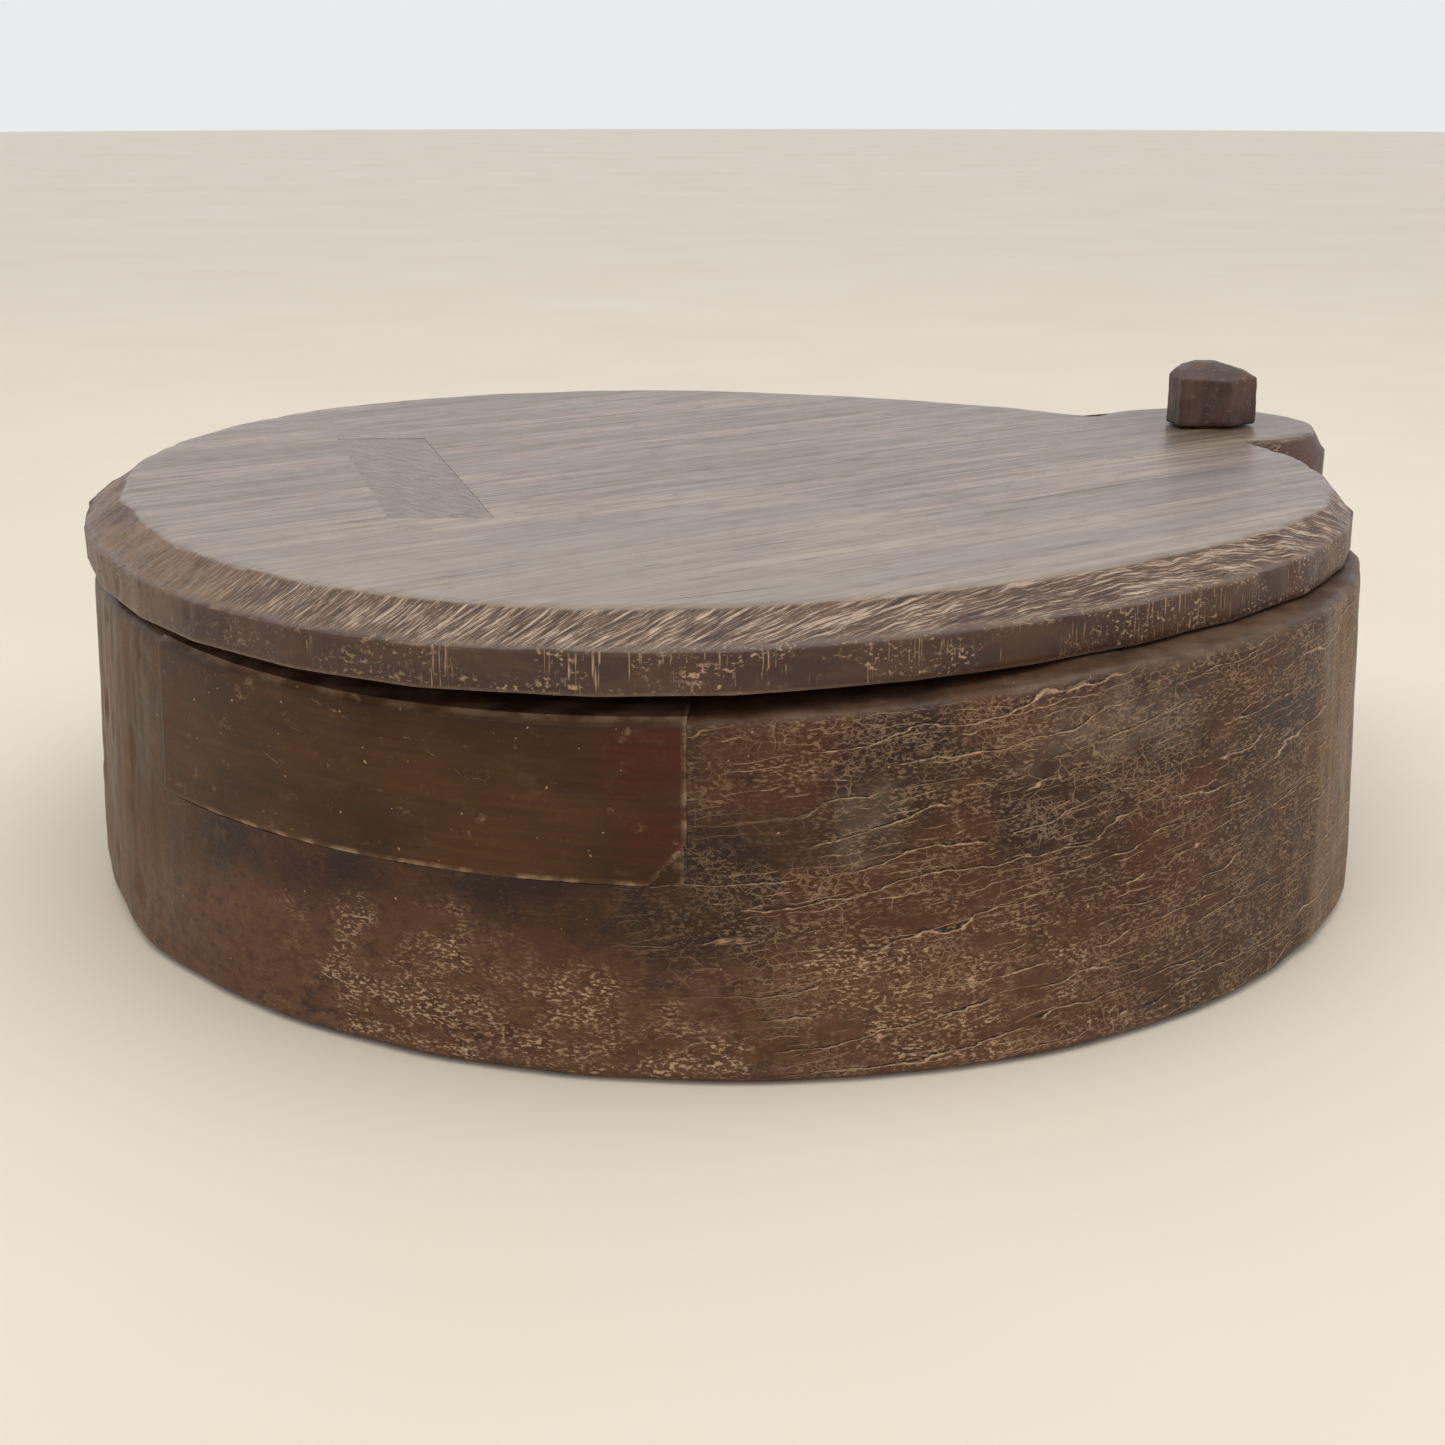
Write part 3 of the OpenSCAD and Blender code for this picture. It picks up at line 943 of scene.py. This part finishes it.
def bowl_material():
    """Dark worn wood: long pale cracks on the right, crust low down and bare wood inside."""
    s = Shader("bowl_wood")
    broad = s.noise((34, 34, 26), detail=4)
    middle = s.noise((8, 8, 5), detail=4, rough=0.6)
    fine = s.noise((2.4, 2.4, 1.4), detail=4, rough=0.65)
    colour = s.blend(broad, 0.36, 0.64, DARK, UMBER)
    colour = s.mix(s.mul(s.mask("red"), 0.35), colour, RED)
    colour = s.tint(colour, s.noise((60, 60, 22)), 0.52, 0.7, 0.6, OLIVE)
    colour = s.tint(colour, middle, 0.55, 0.75, 0.35, (110, 76, 50))
    colour = s.tint(colour, middle, 0.46, 0.3, 0.5, (40, 24, 20))
    colour = s.tint(colour, fine, 0.56, 0.8, 0.35, (122, 89, 60))
    streaks = s.noise((3.4, 3.4, 60))
    # Flanks: lighter streaks, partly grain and partly a painted sheen
    flank = s.mask("flank")
    colour = s.mix(s.mul(flank, s.ramp(streaks, 0.3, 0.66, 0.15, 0.65)), colour, (120, 92, 60))
    lump = s.noise((4.5, 4.5, 2.6), detail=4, rough=0.6)
    colour = s.mix(s.mul(s.mask("low"), s.ramp(lump, 0.32, 0.6, 0.25, 0.9)), colour, (98, 66, 43))
    craze = s.mask("craze")
    broken = s.flecks((5.5, 5.5, 4), 0.32, 0.54)
    gaps = s.mul(s.flecks((34, 34, 7), 0.44, 0.5), s.ramp(broken, 0, 0.5, 0.35, 1))
    long_lines = dict(spacing=7.5, lean=0.14, size=(38, 38, 15), sway=17)
    lips = s.mul(s.bands(width=0.28, **long_lines), gaps)
    shadows = s.mul(s.bands(width=0.32, rise=0.34, **long_lines), gaps)
    short_gaps = s.mul(s.flecks((14, 14, 4), 0.46, 0.56), broken)
    short_lips = s.mul(s.bands(2.6, 0.12, (15, 15, 6), 5, 0.17), short_gaps)
    area = s.flecks((21, 21, 15), 0.46, 0.62, detail=3)
    net = s.mul(s.cells((2.6, 2.6, 1.9), 1.3, 0.075, 4), area, broken)
    wide_net = s.mul(s.cells((9, 9, 6), 4.0, 0.022, 7), s.flecks((26, 26, 20), 0.53, 0.62, detail=3))
    fine_lines = s.most(s.mul(net, 0.42), s.mul(wide_net, 0.45), s.mul(short_lips, 0.85))
    pale = s.mul(s.most(lips, fine_lines), craze)
    crumbs = s.mul(s.flecks((1.5, 1.5, 0.62), 0.5, 0.64), s.flecks((13, 13, 6), 0.34, 0.6, detail=4))
    crumbs = s.mul(crumbs, s.most(s.ramp(s.mask("crust"), 0.1, 0.7), s.mul(craze, 0.45), 0.04))
    dots = s.flecks((1.7, 1.7, 1.7), 0.78, 0.8, detail=1)
    haze = s.mul(s.mask("haze"), s.ramp(middle, 0.3, 0.7, 0.1, 0.6))
    colour = s.mix(haze, colour, (114, 98, 84))
    colour = s.mix(s.mul(shadows, craze, 0.95), colour, (22, 13, 11))
    dust = s.most(s.mul(pale, 0.85), s.mul(crumbs, 0.7), s.mul(dots, 0.6))
    colour = s.mix(dust, colour, DUST)
    # A paler band along the rim, partly wear and partly a painted highlight
    pale_edge = s.mul(s.mask("rim"), s.ramp(s.noise((11, 11, 5)), 0.4, 0.65, 0.1, 0.3))
    colour = s.mix(pale_edge, colour, (142, 120, 100))
    hollow = s.blend(broad, 0.34, 0.66, (104, 79, 56), (130, 102, 74))
    hollow = s.tint(hollow, s.noise((40, 3.2, 40), detail=4), 0.4, 0.68, 0.4, (74, 51, 35))
    colour = s.mix(s.mul(s.mask("inside"), 0.85), colour, hollow)
    height = s.add(
        s.mul(s.add(middle, fine), 0.4), s.mul(streaks, flank, 0.5), s.mul(s.mask("low"), lump, 0.9),
        s.mul(dust, 0.3), s.mul(shadows, craze, -1))
    rough = s.ramp(s.add(broad, s.mul(dust, 0.4)), 0.3, 0.9, 0.4, 0.66)
    return s.finish(colour, rough, height, 0.4, shine=0.24)


def patch_material():
    """Smooth, darker wood, redder at its right end."""
    s = Shader("patch_wood")
    broad = s.noise((40, 40, 18), detail=4)
    grain = s.noise((30, 30, 1.6), detail=4)
    mottle = s.noise((6, 6, 4), detail=4, rough=0.6)
    colour = s.blend(broad, 0.36, 0.64, (60, 36, 15), (80, 50, 24))
    colour = s.tint(colour, s.mask("red"), 0.3, 0.9, 0.8, (74, 29, 14))
    colour = s.tint(colour, grain, 0.35, 0.7, 0.3, (40, 24, 17))
    colour = s.tint(colour, mottle, 0.55, 0.75, 0.2, (106, 82, 62))
    scratch = s.mul(s.bands(13, -0.35, (26, 26, 20), 22, 0.14), s.flecks((10, 10, 7), 0.58, 0.66, detail=3))
    specks = s.flecks((1.6, 1.6, 1.6), 0.775, 0.795, detail=1)
    smudge = s.ramp(s.noise((9, 9, 7), detail=5, rough=0.7), 0.6, 0.75, 0, 0.3)
    in_joint = s.mul(s.mask("dust"), s.ramp(s.noise((6, 6, 4)), 0.42, 0.66, 0.08, 0.6))
    dust = s.most(s.mul(scratch, 0.35), s.mul(specks, 0.6), smudge, in_joint)
    colour = s.mix(dust, colour, DUST)
    # A paler band along the rim, partly wear and partly a painted highlight
    pale_edge = s.mul(s.mask("rim"), s.ramp(s.noise((11, 11, 5)), 0.4, 0.65, 0.15, 0.7))
    colour = s.mix(pale_edge, colour, (142, 118, 96))
    height = s.mul(s.add(grain, mottle), 0.5)
    return s.finish(colour, s.ramp(broad, 0.3, 0.7, 0.34, 0.5), height, 0.16, shine=0.22)


def line_mask(s, start, end, width, wobble, sway_size):
    """A thin wavering line between two points of the lid's top, in millimetres, fading at its ends."""
    start, end = np.array(start, float), np.array(end, float)
    length = float(np.hypot(*(end - start)))
    unit = (end - start) / length
    x, y = s.axis("X"), s.axis("Y")

    def reach(direction):
        """How far the place is from the start, in that direction."""
        return s.add(s.mul(x, direction[0] / MM), s.mul(y, direction[1] / MM), -float(start @ direction))

    along = reach(unit)
    sway = s.mul(s.sub(s.noise(sway_size), 0.5), wobble * 2)
    off = s.math("ABSOLUTE", s.add(reach((-unit[1], unit[0])), sway))
    ends = s.mul(s.ramp(along, 0, 14), s.ramp(along, length, length - 14))
    return s.mul(s.ramp(off, width, 0), ends)


def lid_material():
    """Plank: a worn top, pale grey partly as a painted reflection of the bright room, lighter towards the
    front as a painted sheen and darker round the ear as painted shade; a torn bevel with pale slivers, and
    a dark edge.
    """
    s = Shader("lid_wood")
    turn = GRAIN_TURN
    x, y = s.axis("X"), s.axis("Y")
    broad = s.noise((150, 26, 60), turn, detail=4)
    grain = s.noise((46, 2.2, 12), turn, detail=4, rough=0.6)
    pores = s.flecks((16, 0.8, 3), 0.62, 0.72, turn)
    # Painted reflection: the top's pale grey stands partly for the bright room reflected in dark brown wood
    top = s.blend(broad, 0.35, 0.68, (112, 98, 85), (154, 137, 121))
    top = s.tint(top, grain, 0.38, 0.68, 0.72, (84, 66, 53))
    smudges = s.noise((9, 6, 5), turn, detail=5, rough=0.65)
    top = s.tint(top, smudges, 0.5, 0.72, 0.5, (84, 65, 52))
    # Painted sheen: the top is lighter towards the front
    top = s.tint(top, y, 0.0, -0.15, 0.3, (166, 148, 130))
    # Painted shade: the top is darker round the ear
    ear_shade_zone = s.mul(s.ramp(x, 0.12, 0.15), s.ramp(y, 0.045, 0.075))
    top = s.mix(s.mul(ear_shade_zone, 0.4), top, (76, 58, 44))
    marks = s.mul(s.ramp(s.noise((34, 3.4, 10), turn), 0.62, 0.7), 0.6)
    top = s.mix(s.most(marks, s.mul(pores, 0.3)), top, (62, 45, 36))
    cracks = s.most(
        line_mask(s, *LONG_CRACK, 0.5, 1.2, (30, 30, 30)),
        line_mask(s, (-21, -176), (18, -156), 0.6, 1.0, (22, 22, 22)),
        line_mask(s, (75, -58), (164, 7), 0.8, 2.0, (40, 40, 40)))
    top = s.mix(s.mul(cracks, 0.75), top, (44, 32, 26))
    torn = s.noise((12, 0.5, 4), turn, rough=0.65)
    fresh = s.ramp(x, -0.17, -0.07, 0.2, 1.0)
    slivers = s.noise((26, 1.5, 6), turn + 0.06, rough=0.6)
    streak = s.add(s.mul(torn, 0.7), s.mul(slivers, 0.3))
    damp = s.noise((30, 30, 12))
    side = s.blend(damp, 0.36, 0.66, (56, 31, 19), (80, 48, 28))
    side = s.tint(side, s.noise((4, 4, 2), detail=5, rough=0.65), 0.5, 0.75, 0.3, (98, 72, 52))
    ends = s.mask("ends")
    end_wood = s.ramp(s.noise((4, 4, 9), detail=4), 0.35, 0.65, 0.3, 0.7)
    side = s.mix(s.mul(ends, end_wood), side, (106, 86, 66))
    holes = s.mul(ends, s.flecks((2.2, 2.2, 3), 0.6, 0.68))
    side = s.mix(s.mul(holes, 0.8), side, (34, 22, 17))
    bevel = s.blend(s.noise((40, 9, 12), turn), 0.35, 0.65, (84, 59, 41), (106, 77, 54))
    hair = s.noise((7, 0.32, 3), turn - 0.05, rough=0.7)
    bevel = s.mix(s.mul(fresh, s.ramp(streak, 0.51, 0.6, 0, 0.8)), bevel, (196, 170, 148))
    bevel = s.mix(s.mul(fresh, s.ramp(hair, 0.56, 0.64, 0, 0.6)), bevel, (214, 190, 166))
    bevel = s.mix(s.mul(fresh, s.ramp(streak, 0.48, 0.4, 0, 0.85)), bevel, (44, 26, 19))
    bevel = s.mix(s.mul(fresh, s.ramp(hair, 0.44, 0.36, 0, 0.6)), bevel, (38, 22, 16))
    tan = s.mul(s.ramp(x, -0.06, -0.15), s.flecks((16, 16, 8), 0.42, 0.62, detail=4))
    bevel = s.mix(s.mul(tan, 0.45), bevel, (134, 104, 74))
    crumbs = s.mul(s.flecks((1.5, 1.5, 1.0), 0.54, 0.66), s.flecks((16, 16, 9), 0.44, 0.6, detail=3))
    scratch = s.mul(s.flecks((0.7, 0.7, 16), 0.61, 0.68), s.flecks((18, 18, 18), 0.46, 0.58, detail=3))
    specks = s.mul(s.most(crumbs, scratch), s.ramp(x, -0.12, -0.02, 0.25, 0.65), s.sub(1, ear_shade_zone))
    side = s.mix(specks, side, DUST)
    # Painted shade: the side and bevel are darker round the ear
    side = s.mix(s.mul(ear_shade_zone, 0.5), side, (60, 36, 20))
    bevel = s.mix(s.mul(ear_shade_zone, 0.8), bevel, (72, 50, 35))
    under = s.blend(grain, 0.3, 0.7, (88, 66, 50), (118, 92, 72))
    colour = s.mix(s.mask("bevel"), top, bevel)
    colour = s.mix(s.mask("edge"), colour, side)
    colour = s.mix(s.mask("under"), colour, under)
    pale_edge = s.mul(s.mask("worn"), s.noise((7, 7, 5), detail=4, rough=0.7))
    pale_edge = s.mul(pale_edge, s.ramp(x, 0.12, -0.15, 0.75, 1.0))
    colour = s.tint(colour, pale_edge, 0.36, 0.62, 0.5, (176, 138, 104))
    away = s.sub(1, s.most(s.mask("bevel"), s.mask("edge")))
    smooth = s.sub(s.mul(grain, 0.2), s.mul(s.add(cracks, s.mul(marks, 0.4)), 0.4))
    rough_relief = s.mul(streak, s.mask("bevel"), fresh, 1.3)
    rough_relief = s.add(rough_relief, s.mul(crumbs, 0.3), s.mul(holes, -0.9))
    height = s.add(s.mul(away, smooth), s.mul(s.sub(1, away), rough_relief))
    gloss = s.add(s.ramp(broad, 0.3, 0.7, 0.22, 0.3), s.mul(grain, 0.12), s.mul(smudges, 0.1))
    rough = s.add(s.mul(away, gloss), s.mul(s.sub(1, away), 0.52))
    return s.finish(colour, rough, height, 0.5, 0.1)


def key_material():
    s = Shader("key_wood")
    turn = GRAIN_TURN + radians(88)
    grain = s.noise((15, 0.9, 6), turn, detail=4, rough=0.65)
    mottle = s.noise((7, 2.2, 5), turn + 0.5)
    colour = s.blend(grain, 0.35, 0.68, (90, 74, 61), (126, 107, 91))
    colour = s.tint(colour, mottle, 0.55, 0.7, 0.35, (70, 54, 43))
    crack = line_mask(s, *LONG_CRACK, 0.4, 1.2, (30, 30, 30))
    colour = s.mix(s.mul(crack, 0.5), colour, (44, 32, 26))
    height = s.add(s.mul(grain, 0.6), s.mul(mottle, 0.4))
    return s.finish(colour, s.ramp(mottle, 0.3, 0.7, 0.3, 0.4), height, 0.05, 0.1)


def peg_material():
    s = Shader("peg_wood")
    broad = s.noise((9, 9, 14), detail=4)
    grain = s.noise((1.6, 1.6, 16), detail=4)
    colour = s.blend(broad, 0.35, 0.66, (60, 40, 31), (92, 66, 50))
    colour = s.tint(colour, grain, 0.4, 0.7, 0.4, (52, 34, 27))
    colour = s.tint(colour, s.noise((2.2, 2.2, 1.6)), 0.6, 0.72, 0.35, (146, 120, 98))
    height = s.add(s.mul(grain, 0.6), s.mul(s.noise((2.5, 2.5, 2.5), detail=4), 0.4))
    return s.finish(colour, s.ramp(broad, 0.3, 0.7, 0.42, 0.58), height, 0.25)


def pin_material():
    s = Shader("pin_wood")
    grain = s.noise((14, 1.0, 1.0), PIVOT_TURN, detail=4)
    colour = s.blend(grain, 0.35, 0.66, (66, 46, 35), (104, 78, 60))
    return s.finish(colour, s.ramp(grain, 0.3, 0.7, 0.45, 0.6), grain, 0.15)


# ---- Floor, light and camera ----

FLOOR_R = 9000
# The camera's place in metres, its tilt in degrees and its lens in millimetres
EYE_AT = (-0.0017, -0.6589, 0.2319)
EYE_DOWN = 16.81
LENS = 53.56


def make_floor():
    """A plain pale round floor, far wider than the view."""
    turns = all_round(96)
    ring = np.stack([np.cos(turns), np.sin(turns), 0 * turns], 1) * FLOOR_R
    floor = make_object("floor", ring, [list(range(len(turns)))])
    s = Shader("floor_pale")
    tone = s.noise((240, 240, 240), detail=2)
    s.feed(s.surface.inputs["Base Color"], s.mix(tone, (226, 214, 196), (236, 226, 210)))
    s.surface.inputs["Roughness"].default_value = 0.75
    floor.data.materials.append(s.material)


def make_light():
    """A bright, even room: pale all round, with one wide soft lamp overhead, in metres."""
    world = bpy.data.worlds.new("pale_room")
    world.use_nodes = True
    background = world.node_tree.nodes["Background"]
    background.inputs["Color"].default_value = (0.98, 0.985, 1.0, 1)
    background.inputs["Strength"].default_value = 0.84
    bpy.context.scene.world = world
    lamp = bpy.data.lights.new("overhead", "AREA")
    lamp.energy = 9.0
    lamp.shape = "RECTANGLE"
    lamp.size, lamp.size_y = 1.6, 1.2
    lamp.color = (1, 0.97, 0.93)
    light = add_to_scene("overhead", lamp)
    light.location = (0.1, -0.25, 1.5)
    aim = Vector((0, 0, 0.05))
    light.rotation_euler = (aim - light.location).to_track_quat("-Z", "Y").to_euler()


def make_camera():
    """The photographer's place: in front, a little above the lid, looking slightly down."""
    camera = bpy.data.cameras.new("camera")
    camera.lens = LENS
    camera.sensor_width = 36
    camera.clip_start = 0.01
    eye = add_to_scene("camera", camera)
    eye.location = EYE_AT
    eye.rotation_euler = (radians(90 - EYE_DOWN), 0, 0)
    bpy.context.scene.camera = eye


make_bowl(bowl_material())
make_patch(patch_material())
make_lid(lid_material())
make_key(key_material())
make_peg(peg_material())
make_lock_pin(pin_material())
make_floor()
make_light()
make_camera()
bpy.context.scene.view_settings.view_transform = "Standard"
